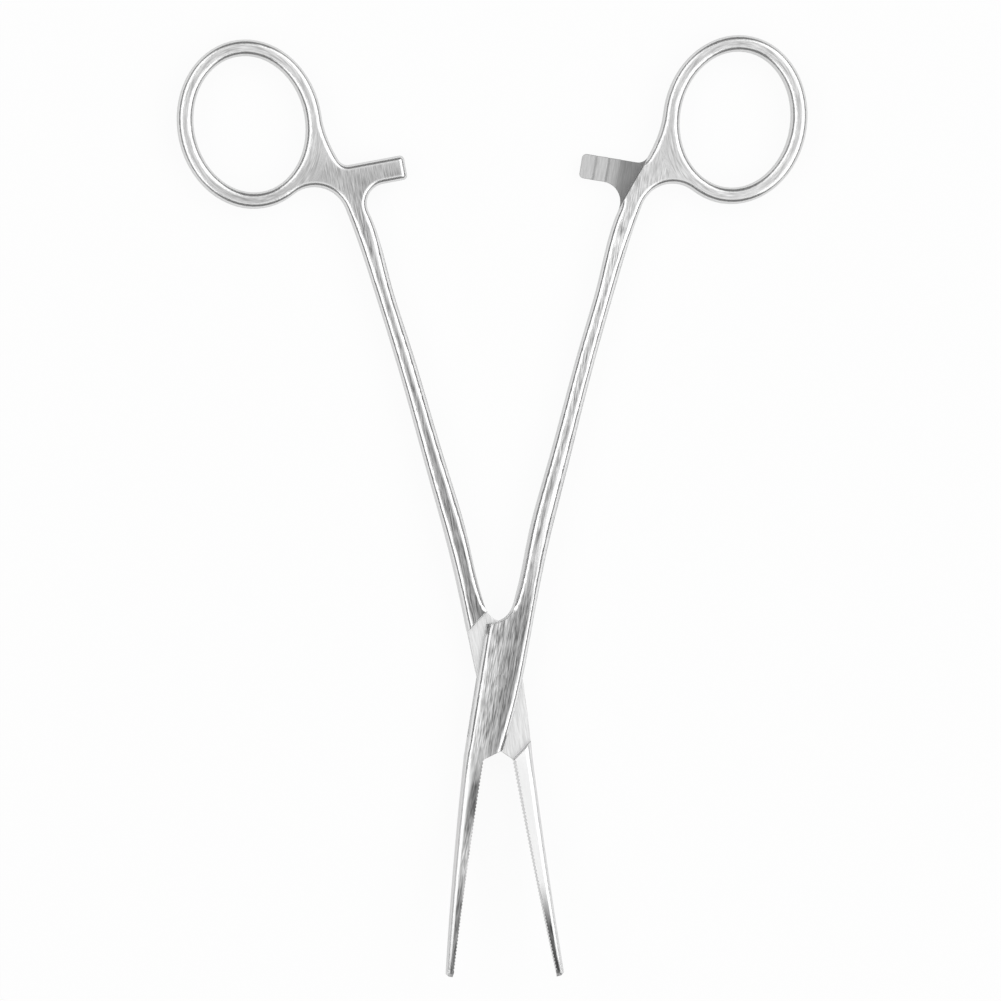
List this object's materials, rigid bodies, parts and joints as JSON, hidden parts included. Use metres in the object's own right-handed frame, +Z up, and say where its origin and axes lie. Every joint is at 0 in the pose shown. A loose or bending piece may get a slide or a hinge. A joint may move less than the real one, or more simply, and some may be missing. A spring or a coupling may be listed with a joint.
{
  "type": "hemostat forceps",
  "caption": "Curved hemostat with a box lock, ring handles, a sawtooth ratchet and serrated jaws that taper to blunt tips.",
  "frame": {"origin": "on the pin axis, in the flat underside of the box lock, on which it lies", "axes": "+Y from the pin to the handles, +Z up along the pin, the jaws curve up towards +Z"},
  "size_m": [0.117, 0.1736, 0.0138],
  "materials": {
    "steel": "polished edges, satin lengthwise grinding on the flats",
    "pin_steel": "ground flush and satin"
  },
  "bodies": {
    "female": {"female_half": "steel", "pivot_pin": "pin_steel"},
    "male": {"male_half": "steel"}
  },
  "joints": [
    {"name": "box_lock", "type": "hinge", "parent": "female", "child": "male", "pos_m": [0, 0, 0], "axis": [0, 0, 1], "range_deg": [-20, 40]}
  ]
}
